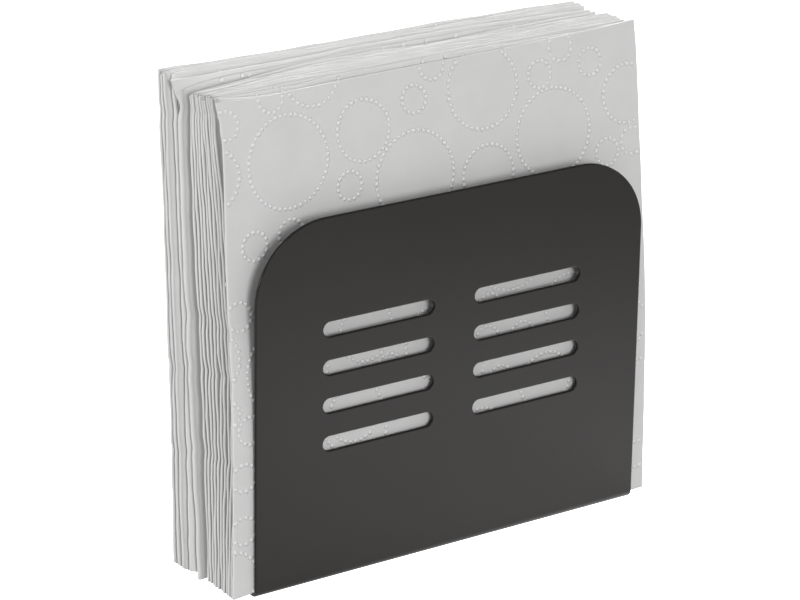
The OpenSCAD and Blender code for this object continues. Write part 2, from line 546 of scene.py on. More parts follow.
# %% Place, lean and height of each napkin, read from its solid and its joint
class Napkin:
    def __init__(self, index):
        self.index = index
        self.node = f"napkin_{index + 1:02d}"
        low, high = node_box(self.node)
        joint = next(j for j in frame["joints"] if j["child"] == self.node)
        self.lean = math.atan2(joint["axis"][1], joint["axis"][2])
        sine, cosine = math.sin(self.lean), math.cos(self.lean)
        fold_r = PAIR_T / 2
        self.rise = ((NAPKIN_T - fold_r) * sine + fold_r) / cosine - fold_r
        self.width = high[0] - low[0]
        self.height = (high[2] - low[2]) / cosine - self.rise
        front = low[1] - (fold_r * cosine + (fold_r + self.rise) * sine - fold_r)
        self.corner = np.array([low[0], front, low[2]])

    def stand(self, x, y, z):
        """From the napkin's own width, thickness and height to its place in the stack."""
        sine, cosine = math.sin(self.lean), math.cos(self.lean)
        up = z + self.rise
        return np.stack([self.corner[0] + x, self.corner[1] + y * cosine + up * sine,
                         self.corner[2] - y * sine + up * cosine], axis=-1)


napkins = [Napkin(index) for index in range(NAPKIN_COUNT)]
print("leans", [round(math.degrees(napkin.lean), 1) for napkin in napkins])
print("heights", [round(napkin.height, 1) for napkin in napkins])

# %% [markdown]
# No two napkins are folded alike. Their top edges rise and fall by a millimetre or two, the
# folded corners are rounded off, and the edges of the four leaves don't quite meet. Tables give
# the tops from left to right. Several of their numbers were worked out beforehand by another
# script, from points read off the photograph, and then rounded or changed. A seeded random
# generator gives the small differences that can't be read from it.

# %% Tables of the uneven edges
TOP_SHARES = (0, 0.05, 0.12, 0.42, 0.66, 0.9, 1)
TOP_DROPS = {
    0: (-0.3, 1.1, 2.1, 1.5, 0.9, 0.0, -1.0),
    1: (0.2, 0.6, 0.9, 0.4, 0.1, 0.0, 0.2),
    11: (1.2, 1.0, 0.7, 0.1, 0.0, 0.6, 1.4)}
FRONT_DROPS = (0.2, 0.3, 0.3, 0.35, 0.3, 0.1, 0.1)
REAR_DROPS = (-0.9, -0.8, -0.6, -0.3, -0.4, -0.3, 0.2)
# In the front group the tops slope down to the left, less at the second napkin than at the rear
SLOPE_LENGTH = 42
SECOND_SLOPE = 0.9
ELEVENTH_SLOPE = 3.2
CORNER_REACH = 1.6
CORNER_DROPS = {0: 0.1, 1: 0.2, 11: 0.2}
GROUP_CORNER_DROP = 0.4
CORNER_SPREAD = 0.2
OWN_DROP = 0.5
# Of each leaf below the napkin's top, and to the left of its right edge
LEAF_STEPS = [0.0, 0.3, 0.65, 1.0]
RIGHT_STEPS = [0.0, 0.3, 0.6, 0.9]
REAR_LEAF_SHARE = 0.6
# Lengths and heights of the waves in the edges, the noses and the air between napkins
TOP_WAVE = (110, 0.3)
FRONT_TOP_WAVE = (110, 0.05)
LEAF_WAVE = (60, 0.08)
NOSE_WAVE = (70, 0.3)
GAP_WAVE = (130, 0.8, 3)
RIGHT_WAVE = (90, 0.1)
# The front pair of leaves ends lower than the rear pair, and more so near the nose: the step
# everywhere, the further step at the nose, and how far that one reaches
PAIR_STEPS = {0: (0.2, 1.3, 10), 11: (1.2, 2.6, 8)}
NO_PAIR_STEP = (0, 0, 10)
print("tables for", len(TOP_DROPS), "tops of their own, the others share two")

# %% Seeded waves and drops of each napkin
EDGE_SEED = 7
rng = np.random.default_rng(EDGE_SEED)


def smooth_wave(length, amplitude, count=5):
    """A sum of a few sines with seeded phases, as a function of a distance."""
    waves = [(length / (k + 1), rng.uniform(0, 2 * math.pi), rng.uniform(0.5, 1) / (k + 1))
             for k in range(count)]

    def wave(distance):
        total = sum(share * np.sin(2 * math.pi * distance / size + phase)
                    for size, phase, share in waves)
        return amplitude * total
    return wave


for napkin in napkins:
    in_front = napkin.index < FRONT_GROUP
    napkin.drops = TOP_DROPS.get(napkin.index, FRONT_DROPS if in_front else REAR_DROPS)
    pressed_group = 0 < napkin.index < TWELFTH
    napkin.slope = 0
    if pressed_group:
        napkin.slope = np.interp(napkin.index, (1, TWELFTH - 1), (SECOND_SLOPE, ELEVENTH_SLOPE))
    spread = rng.uniform(-CORNER_SPREAD, CORNER_SPREAD)
    napkin.corner_drop = CORNER_DROPS.get(napkin.index, GROUP_CORNER_DROP + spread)
    napkin.pair_step = PAIR_STEPS.get(napkin.index, NO_PAIR_STEP)
    napkin.own_drop = rng.uniform(0, OWN_DROP) if pressed_group else 0
    napkin.top_wave = smooth_wave(*(TOP_WAVE if napkin.index else FRONT_TOP_WAVE))
    napkin.leaf_drops = rng.permutation(LEAF_STEPS) * rng.uniform(0.5, 1.3)
    napkin.leaf_drops *= 1 if in_front else REAR_LEAF_SHARE
    napkin.leaf_waves = [smooth_wave(*LEAF_WAVE) for leaf in range(LEAVES)]
    napkin.nose_wave = smooth_wave(*NOSE_WAVE)
    napkin.gap_wave = smooth_wave(*GAP_WAVE)
    napkin.right_drops = rng.permutation(RIGHT_STEPS) * rng.uniform(0.5, 1)
    napkin.right_waves = [smooth_wave(*RIGHT_WAVE) for leaf in range(LEAVES)]
napkins[0].leaf_drops = np.array([0.0, 0.2, 0.35, 0.3])
napkins[0].right_drops = np.array([0.0, 0.3, 0.5, 0.4])
napkins[TWELFTH].leaf_drops = np.array([0.0, 0.1, 0.1, 0.0])
print("waves of", len(napkins), "napkins drawn from seed", EDGE_SEED)

# %% How high a leaf stands at a distance from the nose
def leaf_of(theta, phi):
    """Leaves are counted from the front: outer, inner, inner, outer."""
    behind = theta > math.pi / 2
    inner = phi > 0
    return np.where(behind, np.where(inner, 2, 3), np.where(inner, 1, 0))


def fades(x, reach):
    """From 1 at the nose towards 0 far to its right; other distances fade the same way."""
    return np.exp(-np.maximum(x, 0) / reach)


def top_height(napkin, x, leaf):
    x = np.maximum(x, 0)
    drop = np.interp(x / napkin.width, TOP_SHARES, napkin.drops)
    drop = drop + napkin.slope * np.clip(1 - x / SLOPE_LENGTH, 0, 1)
    drop = drop + napkin.corner_drop * fades(x, CORNER_REACH)
    drop = drop + napkin.own_drop + napkin.top_wave(x)
    step, near_step, reach = napkin.pair_step
    drop = drop + np.where(leaf < 2, step + near_step * fades(x, reach), 0)
    for k in range(LEAVES):
        own = napkin.leaf_drops[k] + napkin.leaf_waves[k](x)
        drop = drop + np.where(leaf == k, np.maximum(own, 0), 0)
    return napkin.height - drop


middle_top = top_height(napkins[0], napkins[0].width / 2, 0)
print("the front napkin is", round(float(middle_top), 1), "mm high at its middle")

# %% Folding a point of the open sheet
PRESSED = 1.05


def pressed(value):
    """A fold of paper is a little more pointed than a round one."""
    return np.sign(value) * np.abs(value) ** PRESSED


def fold_sheet(napkin, theta, along, phi, share, lift):
    """Theta turns round the nose from front to back, phi round the foot from outer to inner leaf.

    Along is the distance to the right of the nose, share the height as a share of the leaf's, and
    lift the distance out of the middle of the paper, towards its outer face."""
    radius = PAIR_PATH_R - (LEAF_PATH_R + lift) * np.sin(phi)
    x = NOSE_R + along - pressed(np.sin(theta)) * radius
    y = NOSE_R - pressed(np.cos(theta)) * radius
    top = top_height(napkin, x, leaf_of(theta, phi))
    z = PAIR_T / 2 - (LEAF_PATH_R + lift) * np.cos(phi) + share * (top - PAIR_T / 2)
    return x, y, z


print("the outer leaf turns round the nose at", round(PAIR_PATH_R + LEAF_PATH_R, 3), "mm")

# %% [markdown]
# A pressed stack is not a pile of flat boards. Its front napkins bow forward until they touch the
# front plate, and lean back above it. They stand in small bundles with a little more air between
# them, and the feet of their noses sag beside the base, while those of the rear group bend up.
# The folded noses wander a little to the left and right, the front napkin's upper left corner
# flares out, and the twelfth napkin, with free room behind it, ends in a fat, round nose. Each of
# these is one small function of the place on the napkin. Neighbours are moved nearly alike, so
# they stay clear of each other.

# %% Tables of the bow, the wandering ends and the sagging feet
BOW_HEIGHTS = (0, 10, 20, 30, 40, 50, 60, 70, 80, 90, 104, 124, 145, 164)
BOW_DEPTHS = (0.0, 0.6, 1.4, 2.1, 2.8, 3.4, 3.8, 3.9, 3.7, 3.2, 2.3, 1.2, 0.4, 0.0)
BOW_LOSS_TO_RIGHT = 0.3
END_HEIGHTS = (0, 12, 30, 45, 62, 87, 112, 127, 140, 150, 157, 164)
FRONT_LEFT_SHIFTS = (-2.1, -1.8, -1.8, -1.8, -1.4, -1.0, -0.5, 0.0, 0.3, 0.1, -0.8, -1.7)
FRONT_RIGHT_SHIFTS = (-0.3, -0.3, -0.3, -0.3, -0.3, -0.4, -0.5, -0.6, -0.8, -1.1, -1.4, -2.0)
# Of the second, eleventh, twelfth, thirteenth and last napkin, from the foot to the top
SHIFT_HEIGHTS = (0, 60, 125, 164)
SECOND_SHIFTS = (-2.7, -0.3, 0.3, -1.2)
ELEVENTH_SHIFTS = (-0.2, 0.0, 0.0, 0.5)
TWELFTH_SHIFTS = (2.0, 1.6, 1.6, 2.2)
THIRTEENTH_SHIFTS = (0.4, 1.6, 1.8, 1.6)
LAST_SHIFTS = (-1.7, -0.6, 0.0, 0.0)
# Beside the base the feet of the front group sag, and those of the rear group are bent up
FOOT_LIFTS = {0: -0.7, 11: -1.4, 12: 1.0, 13: 1.8, 14: 2.4, 15: 3.0}
USUAL_FOOT_LIFT = -1.0
SAG_REACH = 5.5
CURL_REACH = 2.6
FOOT_HEIGHT = 7
print("the front napkin bows by", max(BOW_DEPTHS), "mm")

# %% Bundles, the bow and the wandering ends
# The air between neighbours in the front group is shared out unevenly, so they stand in bundles
NAPKIN_GAP = 0.3
LEAST_GAP_SHARE = 0.45
BUNDLE_SLANT = 0.45
# Further shares of air behind the front and the eleventh napkin; the first opens only near the
# nose, from a start upwards
WIDE_GAPS = {0: 2.2, 10: 2.6}
WIDE_START, WIDE_RISE = 70, 60
WIDE_REACH = 30


def rises(z, start, height):
    """From 0 up to a start, to 1 a height further up."""
    return np.clip((z - start) / height, 0, 1)


def bundle_shift(napkin, x, z):
    if napkin.index == 0 or napkin.index >= FRONT_GROUP:
        return 0
    place = z + BUNDLE_SLANT * np.maximum(x, 0)
    opens = rises(z, WIDE_START, WIDE_RISE) * fades(x, WIDE_REACH)
    shares = []
    for pair in range(TWELFTH):
        wide = np.maximum(napkins[pair].gap_wave(place), 0) ** 2
        wide = wide + WIDE_GAPS.get(pair, 0) * (opens if pair == 0 else 1)
        shares.append(LEAST_GAP_SHARE + wide)
    before = sum(shares[:napkin.index])
    return NAPKIN_GAP * (TWELFTH * before / sum(shares) - napkin.index)


def bow_forward(napkin, x, z):
    if napkin.index >= FRONT_GROUP:
        return 0
    share = 1 - napkin.index / TWELFTH
    bow = np.interp(z, BOW_HEIGHTS, BOW_DEPTHS)
    return -bow * share * (1 - BOW_LOSS_TO_RIGHT * np.clip(x / napkin.width, 0, 1))


def end_shift(napkin, x, z):
    """How far the napkin's left end moves, less and less towards its right end."""
    share = np.clip(x / napkin.width, 0, 1)
    if napkin.index == 0:
        left = np.interp(z, END_HEIGHTS, FRONT_LEFT_SHIFTS)
        right = np.interp(z, END_HEIGHTS, FRONT_RIGHT_SHIFTS)
        return left * (1 - share) + right * share
    if napkin.index < TWELFTH:
        part = (napkin.index - 1) / (TWELFTH - 2)
        values = (1 - part) * np.array(SECOND_SHIFTS) + part * np.array(ELEVENTH_SHIFTS)
        return np.interp(z, SHIFT_HEIGHTS, values) * (1 - share)
    if napkin.index == TWELFTH:
        return np.interp(z, SHIFT_HEIGHTS, TWELFTH_SHIFTS) * (1 - share)
    if napkin.index == FRONT_GROUP:
        return np.interp(z, SHIFT_HEIGHTS, THIRTEENTH_SHIFTS) * (1 - share)
    part = (napkin.index - FRONT_GROUP + 1) / (NAPKIN_COUNT - FRONT_GROUP)
    return part * np.interp(z, SHIFT_HEIGHTS, LAST_SHIFTS) * (1 - share)


shifts = [round(float(bundle_shift(napkin, 0, 125)), 2) for napkin in napkins[:FRONT_GROUP]]
print("moves of the noses within their bundles", shifts)

# %% Kinks and waves
NOSE_REACH = 14
RIGHT_REACH = 12
FRONT_NOSE_SHARE = 0.3
# The noses are dented at a few heights: a dent's depth, its half height, and its reach to the right
KINK_DEPTH = 0.45
KINK_WIDTH = 2.2
KINK_REACH = 5
FRONT_KINKS = (156.5, 88.7, 72.0, 44.5)
REAR_KINKS = (153.7, 69.9, 41.9)
BROAD_WAVE, FINE_WAVE = 0.16, 0.1


def shift_sideways(napkin, x, z, leaf):
    shift = np.abs(napkin.nose_wave(z)) * fades(x, NOSE_REACH)
    if napkin.index == 0:
        shift = shift * FRONT_NOSE_SHARE
    kinks = FRONT_KINKS if napkin.index < FRONT_GROUP else REAR_KINKS
    for height in kinks:
        dent = np.exp(-((z - height) / KINK_WIDTH) ** 2)
        shift = shift + KINK_DEPTH * dent * fades(x, KINK_REACH)
    near_right = fades(napkin.width - x, RIGHT_REACH)
    for k in range(LEAVES):
        own = napkin.right_drops[k] + napkin.right_waves[k](z)
        shift = shift - np.where(leaf == k, np.maximum(own, 0), 0) * near_right
    return x + shift


def stack_wave(x, z):
    """The stack's common waviness, the same for every napkin."""
    broad = BROAD_WAVE * np.sin(x / 31 + 0.6) * np.sin(z / 37 + 0.4)
    return broad + FINE_WAVE * np.sin(x / 13 + z / 47)


print(len(FRONT_KINKS), "dents in the front noses,", len(REAR_KINKS), "in the rear ones")

# %% The loose corner of the front napkin and the fat nose of the twelfth
FLARE = 3.0
FLARE_START, FLARE_RISE = 95, 55
FLARE_REACH = 22
FLARE_LEFT = 0.1
FAT_NOSE = 0.4
FAT_REACH = 7
FLANK_REACH = 2.5
BENT_BACK = 1.5
BENT_REACH = 8
TWIST = 3.2
TWIST_START, TWIST_RISE = 157, 7
TWIST_REACH = 25


def flare_front(x, y, z):
    """The front napkin's upper left corner stands away from the stack."""
    flare = FLARE * rises(z, FLARE_START, FLARE_RISE) * fades(x, FLARE_REACH)
    return x - FLARE_LEFT * flare, y - flare


def fatten_nose(x, y):
    """The nose bends and swells backwards, and its flanks are drawn in, so it stays round."""
    near = fades(x, FAT_REACH)
    side = np.clip(2 * y / NAPKIN_T - 1, -1, 1)
    flank = (1 - np.sqrt(1 - side ** 2)) * (FAT_NOSE + NAPKIN_T) / 2
    swollen = y + FAT_NOSE * near * np.clip(y / NAPKIN_T, 0, 1)
    bent = BENT_BACK * fades(x, BENT_REACH)
    return x + flank * fades(x, FLANK_REACH), swollen + bent


def twist_top(x, z, theta):
    """At the top of the nose the rear pair of leaves slips further left than the front pair."""
    rear_half = (1 - np.cos(theta)) / 2
    return x - TWIST * rear_half * rises(z, TWIST_START, TWIST_RISE) * fades(x, TWIST_REACH)


def depart(napkin, x, y, z, theta, phi):
    leaf = leaf_of(theta, phi)
    if napkin.index == 0:
        x, y = flare_front(x, y, z)
    if napkin.index == TWELFTH:
        x, y = fatten_nose(x, y)
        x = twist_top(x, z, theta)
    lift = FOOT_LIFTS.get(napkin.index, USUAL_FOOT_LIFT)
    reach = SAG_REACH if lift < 0 else CURL_REACH
    z = z + lift * np.exp(-(np.maximum(x, 0) / reach) ** 2) * fades(z, FOOT_HEIGHT)
    y = y + stack_wave(x + napkin.corner[0], z) + bow_forward(napkin, x, z)
    y = y + bundle_shift(napkin, x, z)
    return shift_sideways(napkin, x, z, leaf) + end_shift(napkin, x, z), y, z


print("the front corner flares by", FLARE, "mm, the twelfth nose slips by", TWIST, "mm")

# %% [markdown]
# A napkin's mesh is one grid over the open sheet, laid twice: once on the outer face of the paper
# and once on its inner face, joined all round the rim. The columns are close together near the
# nose and the rows near the foot, where the paper bends sharply.

# %% Mesh of one napkin
NOSE_STEPS = 8
FOOT_STEPS = 6
NEAR_NOSE = (0.25, 0.7, 1.3, 2.2, 3.4, 4.8, 7, 10, 14, 19, 25)
ROW_STEP = 2.6
FINE_COLUMN, COLUMN_STEP = 4, 9
SMOOTH_ANGLE = 42


def sheet_columns(napkin):
    step = FINE_COLUMN if napkin.index in (0, NAPKIN_COUNT - 1) else COLUMN_STEP
    straight = napkin.width - NOSE_R
    count = int(round((straight - NEAR_NOSE[-1]) / step))
    far = np.linspace(NEAR_NOSE[-1], straight, count + 1)[1:]
    runs = np.concatenate([[0.0], NEAR_NOSE, far])
    turn = np.linspace(0, math.pi, NOSE_STEPS + 1)[1:-1]
    theta = np.concatenate([np.zeros(len(runs)), turn, np.full(len(runs), math.pi)])
    along = np.concatenate([runs[::-1], np.zeros(len(turn)), runs])
    return theta, along


def sheet_rows(napkin):
    count = int(round(napkin.height / ROW_STEP))
    shares = np.linspace(0, 1, count + 1)
    turn = np.linspace(-math.pi / 2, math.pi / 2, FOOT_STEPS + 1)[1:-1]
    phi = np.concatenate([np.full(len(shares), -math.pi / 2), turn,
                          np.full(len(shares), math.pi / 2)])
    share = np.concatenate([shares[::-1], np.zeros(len(turn)), shares])
    return phi, share


def napkin_points(napkin, theta, along, phi, share, lift):
    theta, phi = np.meshgrid(theta, phi, indexing="ij")
    along, share = np.meshgrid(along, share, indexing="ij")
    x, y, z = fold_sheet(napkin, theta, along, phi, share, lift)
    x, y, z = depart(napkin, x, y, z, theta, phi)
    return napkin.stand(x, y, z).reshape(-1, 3)


def shell_faces(columns, rows):
    size = columns * rows
    index = np.arange(size).reshape(columns, rows)
    a, b = index[:-1, :-1].ravel(), index[1:, :-1].ravel()
    c, d = index[1:, 1:].ravel(), index[:-1, 1:].ravel()
    faces = np.stack([a, b, c, d], axis=1).tolist()
    faces += (np.stack([d, c, b, a], axis=1) + size).tolist()
    rim = np.concatenate([index[:, 0], index[-1, 1:], index[-2::-1, -1], index[0, -2:0:-1]])
    after = np.roll(rim, -1)
    faces += np.stack([rim, rim + size, after + size, after], axis=1).tolist()
    return faces


def build_napkin(napkin):
    theta, along = sheet_columns(napkin)
    phi, share = sheet_rows(napkin)
    outer = napkin_points(napkin, theta, along, phi, share, LEAF_T / 2)
    inner = napkin_points(napkin, theta, along, phi, share, -LEAF_T / 2)
    points = np.concatenate([outer, inner])
    faces = shell_faces(len(theta), len(phi))
    piece = object_from("paper_" + napkin.node, points, [], faces)
    smooth(piece, SMOOTH_ANGLE)
    return piece


for napkin in napkins:
    napkin.piece = build_napkin(napkin)
    napkin.piece.data.materials.append(paper)
sizes = [len(napkin.piece.data.polygons) for napkin in napkins]
print("faces of the napkins:", min(sizes), "to", max(sizes))

# %% Which way the faces look
def signed_volume(mesh):
    mesh.calc_loop_triangles()
    corners = np.empty(len(mesh.loop_triangles) * 3, dtype=np.int32)
    mesh.loop_triangles.foreach_get("vertices", corners)
    places = np.empty(len(mesh.vertices) * 3)
    mesh.vertices.foreach_get("co", places)
    a, b, c = places.reshape(-1, 3)[corners.reshape(-1, 3)].transpose(1, 0, 2)
    return float(np.einsum("ij,ij->i", a, np.cross(b, c)).sum() / 6)


for piece in [bent_sheet] + [napkin.piece for napkin in napkins]:
    if signed_volume(piece.data) < 0:
        piece.data.flip_normals()
print("napkin holds", round(signed_volume(napkins[0].piece.data) / MM ** 3), "cubic mm of paper")

# %% [markdown]
# In the photograph the lines between the folds are darker than the lights below make them here.
# Wider gaps would need other solids, and harder light would change all the other tones, so the
# flanks of each last fold are tinted grey instead. This is a trick for the picture: real paper is
# white there, and a lifted napkin keeps a faint line. Each point of the mesh gets its share of
# grey from its place on the open sheet, and faces that lie free stay white.

# %% The painted shade on the flanks of the last folds
PAINTED_SHADE_REACH = 0.8
PAINTED_SHADE_POWER = 9
# The twelfth napkin and the rear group get less of it
REAR_PAINTED_SHADE_SHARE = 0.6


def painted_shade_share(napkin):
    """Painted shade of each point of the mesh: none at the tip of the nose, most on its two flanks.
    """
    theta, along = sheet_columns(napkin)
    phi, _ = sheet_rows(napkin)
    share = np.abs(np.cos(theta)) ** PAINTED_SHADE_POWER * fades(along, PAINTED_SHADE_REACH)
    if napkin.index >= TWELFTH:
        share = share * REAR_PAINTED_SHADE_SHARE
    free_front, free_rear = FREE_SIDES.get(napkin.index, (False, False))
    hidden = np.where(np.cos(theta) > 0, not free_front, not free_rear)
    return np.tile(np.repeat(share * hidden, len(phi)), 2)


for napkin in napkins:
    store(napkin.piece.data, FOLD_PAINTED_SHADE, "FLOAT", "value", painted_shade_share(napkin))
print("grey tint beside the folds of", len(napkins), "napkins")

# %% [markdown]
# The paper is embossed with rings of raised dots in three main sizes. They are pressed into the
# open sheet, so a ring can run over a fold. The rings that show on the front napkin, above the
# plate, beside it and through its slots, have set places. Most of these numbers were worked out
# beforehand by another script, from points read off the photograph, and many were then shifted.
# The rest of the sheet is filled with rings that don't touch, thrown at seeded places. A place is
# the distance along the paper from the napkin's left end and the height above its foot, and a
# negative distance lies on the far side of the nose.

# %% Where the rings lie
LARGE, MEDIUM, SMALL = 15.0, 10.0, 4.6
RING_SPACE = 1.3
RING_TRIES = 900
RING_SEED = 11
# The open sheet's reach in which rings are thrown
THROW_LOW, THROW_HIGH = (-167, -2), (167, 168)
# To the right of and above this place no rings are thrown
NO_THROW = (-6, 100)
PLACED_RINGS = [
    (24.2, 139.6, LARGE), (72.4, 126.6, LARGE), (100.5, 151.4, 13.7), (128.0, 132.0, LARGE),
    (53.3, 144.8, MEDIUM), (101.1, 122.4, MEDIUM), (159.2, 140.4, MEDIUM),
    (47.1, 127.9, SMALL), (73.5, 151.8, SMALL), (123.5, 152.2, SMALL), (132.8, 160.0, SMALL),
    (144.4, 153.3, SMALL), (81.5, 161.6, SMALL), (10.6, 114.9, SMALL), (24.3, 116.5, SMALL),
    (20.0, 160.6, SMALL), (2.0, 155.0, SMALL), (-4.5, 138.4, MEDIUM), (36.0, 165.5, MEDIUM),
    (150.1, 121.8, SMALL), (160.7, 124.0, SMALL),
    (50.7, 79.9, MEDIUM), (45.9, 53.8, MEDIUM), (109.0, 97.4, LARGE), (132.0, 73.6, MEDIUM),
    (98.1, 67.4, SMALL), (103.2, 52.7, SMALL), (121.9, 48.2, MEDIUM), (94.2, 29.0, LARGE),
    (77.7, 71.1, 12.0), (-7.0, 80.3, MEDIUM), (4.0, 40.5, SMALL), (-6.0, 104.5, SMALL)]


def thrown_rings(placed, tries):
    generator = np.random.default_rng(RING_SEED)
    rings = list(placed)
    spread = [(LARGE, tries), (MEDIUM, tries), (SMALL, 2 * tries)]
    for radius, count in spread:
        places = generator.uniform(THROW_LOW, THROW_HIGH, (count, 2))
        for a, h in places:
            if a > NO_THROW[0] and h > NO_THROW[1]:
                continue
            if all(math.hypot(a - other[0], h - other[1]) > radius + other[2] + RING_SPACE
                   for other in rings):
                rings.append((float(a), float(h), radius))
    return rings


rings = thrown_rings(PLACED_RINGS, RING_TRIES)
print(len(rings), "rings,", len(PLACED_RINGS), "of them at set places")

# %% [markdown]
# Each ring becomes a thin guide line that lies on the folded paper, and Geometry Nodes string the
# dots along it like beads: the line is cut into equal steps, a small dome is set on each step and
# turned to look out of the paper. The dots of the front and rear faces, which nothing presses on,
# stand higher than those inside the stack, and the pressed noses have none.

# %% Guide lines on the folded paper
RING_STEPS = 72
# A second point this far above the paper gives the direction in which a dot looks
LOOK_OUT = 0.05
EDGE_MARGIN = 0.9
FREE_DOT = 0.42
PRESSED_DOT = 0.1
# Napkins inside the stack have dots only from this distance beside the nose on, and the front
# napkin has them up to this turn round its nose, in radians
CLEAR_OF_NOSE = 6
NOSE_TURN = 0.1
RIGHT_MARGIN = 1.4


def outer_leaf_place(napkin, a, h, lift):
    """A is the distance along the outer leaf from the nose's front, negative round the nose."""
    run = a - NOSE_R
    theta = np.clip(-run / NOSE_R, 0, math.pi)
    along = np.where(run > 0, run, np.maximum(-run - math.pi * NOSE_R, 0))
    phi = np.full_like(theta, -math.pi / 2)
    x = NOSE_R + along - pressed(np.sin(theta)) * (PAIR_PATH_R + LEAF_PATH_R + lift)
    top = top_height(napkin, x, leaf_of(theta, phi))
    share = (h - PAIR_T / 2) / (top - PAIR_T / 2)
    inside = (h > PAIR_T) & (h < top - EDGE_MARGIN)
    inside &= along + NOSE_R < napkin.width - RIGHT_MARGIN
    if napkin.index == 0:
        inside &= (along > 0) | (theta < NOSE_TURN)
    else:
        inside &= along > CLEAR_OF_NOSE
    x, y, z = fold_sheet(napkin, theta, along, phi, share, lift)
    x, y, z = depart(napkin, x, y, z, theta, phi)
    return napkin.stand(x, y, z), inside, theta


def dot_heights(napkin, theta):
    free_front, free_rear = FREE_SIDES.get(napkin.index, (False, False))
    return np.where(theta < math.pi / 2, FREE_DOT if free_front else PRESSED_DOT,
                    FREE_DOT if free_rear else PRESSED_DOT)


def ring_guides(napkin, offset):
    points, normals, heights, edges = [], [], [], []
    turn = np.linspace(0, 2 * math.pi, RING_STEPS, endpoint=False)
    for centre_a, centre_h, radius in rings:
        a = centre_a + offset[0] + radius * np.cos(turn)
        h = centre_h + offset[1] + radius * np.sin(turn)
        place, inside, theta = outer_leaf_place(napkin, a, h, LEAF_T / 2)
        above, _, _ = outer_leaf_place(napkin, a, h, LEAF_T / 2 + LOOK_OUT)
        away = above - place
        away /= np.linalg.norm(away, axis=1, keepdims=True)
        first = len(points)
        keep = np.flatnonzero(inside)
        number = {int(k): first + i for i, k in enumerate(keep)}
        points += place[keep].tolist()
        normals += away[keep].tolist()
        heights += dot_heights(napkin, theta)[keep].tolist()
        edges += [(number[k], number[(k + 1) % RING_STEPS]) for k in number
                  if (k + 1) % RING_STEPS in number]
    return points, normals, heights, edges


print(RING_STEPS, "points on each guide")

# %% One dot: a cone whose side is bent into a soft bell
def dot_shape(tree, given):
    cone = add_node(tree, "GeometryNodeMeshCone", {
        "Vertices": given["Sides"], "Side Segments": given["Rows"], "Fill Segments": 1,
        "Radius Top": 0.0, "Radius Bottom": 1.0, "Depth": 1.0}, fill_type="NGON")
    corner = add_node(tree, "ShaderNodeSeparateXYZ", {
        0: add_node(tree, "GeometryNodeInputPosition").outputs[0]})
    bow = add_node(tree, "ShaderNodeMath", {
        0: corner.outputs["Z"], 1: math.pi / 2}, operation="MULTIPLY")
    crown = add_node(tree, "ShaderNodeMath", {0: bow.outputs[0]}, operation="SINE")
    bell = add_node(tree, "ShaderNodeMath", {0: crown.outputs[0], 1: 2.0}, operation="POWER")
    domed = add_node(tree, "ShaderNodeCombineXYZ", {
        0: corner.outputs["X"], 1: corner.outputs["Y"], 2: bell.outputs[0]})
    dome = add_node(tree, "GeometryNodeSetPosition", {
        "Geometry": cone.outputs["Mesh"], "Position": domed.outputs[0]})
    return add_node(tree, "GeometryNodeSetShadeSmooth", {
        "Geometry": dome.outputs[0], "Selection": cone.outputs["Side"]})


# %% How large a dot is: its radius, its height on the paper and a little chance
def dot_scale(tree, given):
    tall = add_node(tree, "GeometryNodeInputNamedAttribute", {"Name": "dot height"},
                    data_type="FLOAT")
    least = add_node(tree, "ShaderNodeMath", {0: 1.0, 1: given["Unevenness"]},
                     operation="SUBTRACT")
    most = add_node(tree, "ShaderNodeMath", {0: 1.0, 1: given["Unevenness"]}, operation="ADD")
    uneven = add_node(tree, "FunctionNodeRandomValue", {
        2: least.outputs[0], 3: most.outputs[0], "Seed": given["Seed"]}, data_type="FLOAT")
    sized = add_node(tree, "ShaderNodeCombineXYZ", {
        0: given["Dot Radius"], 1: given["Dot Radius"], 2: tall.outputs[0]})
    return add_node(tree, "ShaderNodeVectorMath", {
        0: sized.outputs[0], "Scale": uneven.outputs[1]}, operation="SCALE")


# %% The node tree that strings dots along the guides
def dot_tree():
    tree = bpy.data.node_groups.new("dots along rings", "GeometryNodeTree")
    sockets = tree.interface
    sockets.new_socket("Geometry", in_out="INPUT", socket_type="NodeSocketGeometry")
    for name, kind in (("Spacing", "Float"), ("Dot Radius", "Float"), ("Sides", "Int"),
                       ("Rows", "Int"), ("Unevenness", "Float"), ("Seed", "Int"),
                       ("Paper", "Material")):
        sockets.new_socket(name, in_out="INPUT", socket_type="NodeSocket" + kind)
    sockets.new_socket("Geometry", in_out="OUTPUT", socket_type="NodeSocketGeometry")
    given = add_node(tree, "NodeGroupInput").outputs
    strings = add_node(tree, "GeometryNodeMeshToCurve", {"Mesh": given["Geometry"]})
    steps = add_node(tree, "GeometryNodeResampleCurve", {
        "Curve": strings.outputs["Curve"], "Length": given["Spacing"]}, mode="LENGTH")
    out = add_node(tree, "GeometryNodeInputNamedAttribute", {"Name": "outward"},
                   data_type="FLOAT_VECTOR")
    turned = add_node(tree, "FunctionNodeAlignRotationToVector", {
        "Vector": out.outputs[0]}, axis="Z")
    beads = add_node(tree, "GeometryNodeInstanceOnPoints", {
        "Points": steps.outputs["Curve"], "Instance": dot_shape(tree, given).outputs[0],
        "Rotation": turned.outputs[0], "Scale": dot_scale(tree, given).outputs[0]})
    real = add_node(tree, "GeometryNodeRealizeInstances", {"Geometry": beads.outputs[0]})
    papered = add_node(tree, "GeometryNodeSetMaterial", {
        "Geometry": real.outputs[0], "Material": given["Paper"]})
    add_node(tree, "NodeGroupOutput", {"Geometry": papered.outputs[0]})
    return tree


dots_along_rings = dot_tree()
print("tree of", len(dots_along_rings.nodes), "nodes")

# %% The embossed dots of each napkin
DOT_SPACING = 2.0
DOT_RADIUS = 0.82
UNEVENNESS = 0.12
# Sides and rows of a dot on a napkin with a free face, and of one inside the stack
FINE_DOT = (8, 3)
PLAIN_DOT = (6, 2)
# How far the rings of the other napkins lie from those of the front one, at most
RING_OFFSET = 1.2


